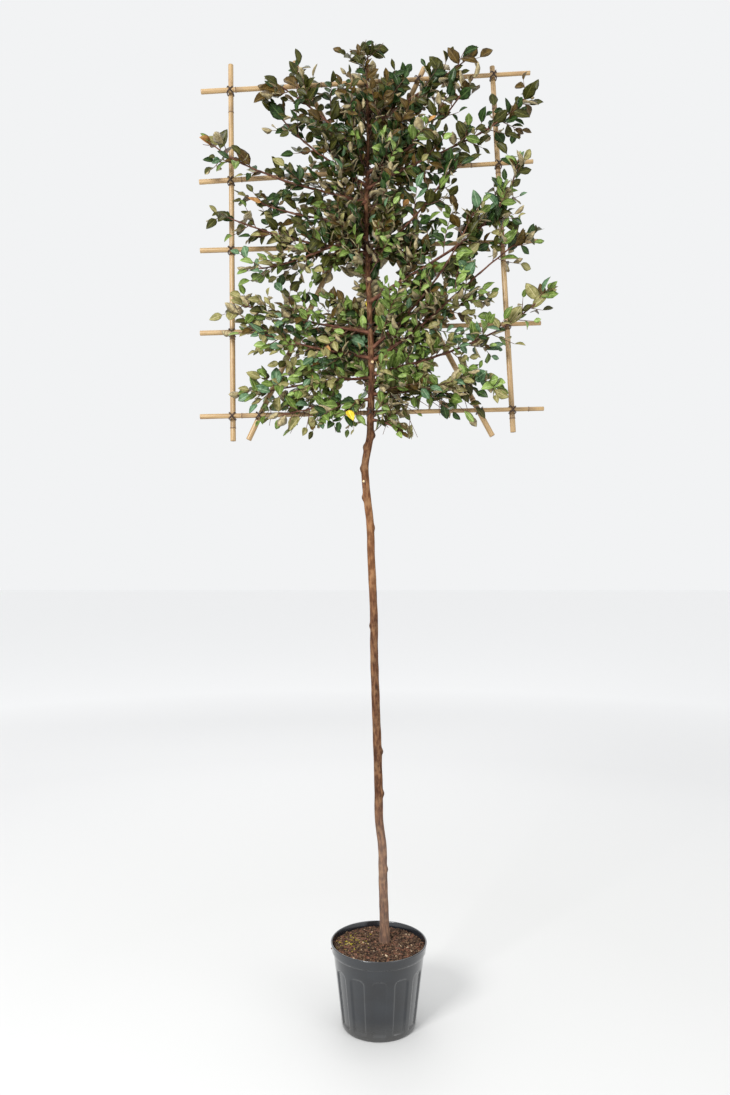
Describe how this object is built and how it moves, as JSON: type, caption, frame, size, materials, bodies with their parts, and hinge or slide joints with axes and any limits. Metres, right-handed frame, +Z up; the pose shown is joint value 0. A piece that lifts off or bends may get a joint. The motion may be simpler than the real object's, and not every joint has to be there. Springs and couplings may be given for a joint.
{
  "type": "potted espaliered silverberry",
  "caption": "Evergreen shrub on a tall clean stem, its crown trained flat on a tied bamboo lattice, standing in a round plastic pot of soil.",
  "frame": {"origin": "centre of the pot's flat underside", "axes": "+Z up along the stem, +X to the right seen from the front, -Y to the front, where the trunk lies before the lattice"},
  "size_m": [1.193, 0.3721, 3.2559],
  "materials": {
    "pot_plastic": "dark slate grey moulded polypropylene, satin",
    "potting_soil": "dark brown peat and bark potting soil, rough and damp",
    "trunk_bark": "reddish brown bark mottled with tan, matte",
    "bough_bark": "dark reddish brown young bark, matte",
    "leaves": "leathery olive and green leaves with silvery beige backs, semi matte",
    "bamboo": "straw coloured dry bamboo cane, satin",
    "tie_wire": "dark brown rubber coated binding wire"
  },
  "bodies": {
    "root": {"pot": "pot_plastic", "soil": "potting_soil", "trunk": "trunk_bark", "rung_1_top": "bamboo", "rung_2": "bamboo", "rung_3": "bamboo", "rung_4": "bamboo", "rung_5_bottom": "bamboo", "upright_left": "bamboo", "upright_right": "bamboo", "diagonal_rising_right": "bamboo", "diagonal_rising_left": "bamboo", "tie_left_1": "tie_wire", "tie_left_2": "tie_wire", "tie_left_3": "tie_wire", "tie_left_4": "tie_wire", "tie_left_5": "tie_wire", "tie_right_1": "tie_wire", "tie_right_2": "tie_wire", "tie_right_3": "tie_wire", "tie_right_4": "tie_wire", "tie_right_5": "tie_wire", "tie_trunk": "tie_wire", "bough_left_1": "bough_bark", "bough_left_3": "bough_bark", "bough_left_5": "bough_bark", "bough_left_7": "bough_bark", "bough_left_8": "bough_bark", "bough_right_1": "bough_bark", "bough_right_2": "bough_bark", "bough_right_3": "bough_bark", "bough_right_4": "bough_bark", "bough_right_5": "bough_bark", "bough_right_6": "bough_bark", "bough_right_7": "bough_bark", "bough_right_8": "bough_bark", "foliage_left_1": "leaves", "foliage_left_2": "leaves", "foliage_left_3": "leaves", "foliage_left_4": "leaves", "foliage_left_5": "leaves", "foliage_left_6": "leaves", "foliage_left_7": "leaves", "foliage_left_8": "leaves", "foliage_left_9": "leaves", "foliage_left_10": "leaves", "foliage_right_1": "leaves", "foliage_right_2": "leaves", "foliage_right_3": "leaves", "foliage_right_4": "leaves", "foliage_right_5": "leaves", "foliage_right_6": "leaves", "foliage_right_7": "leaves", "foliage_right_8": "leaves", "foliage_right_9": "leaves", "foliage_right_10": "leaves", "foliage_back_upper": "leaves", "foliage_back_middle": "leaves", "foliage_back_lower": "leaves", "foliage_leader": "leaves"}
  },
  "joints": []
}
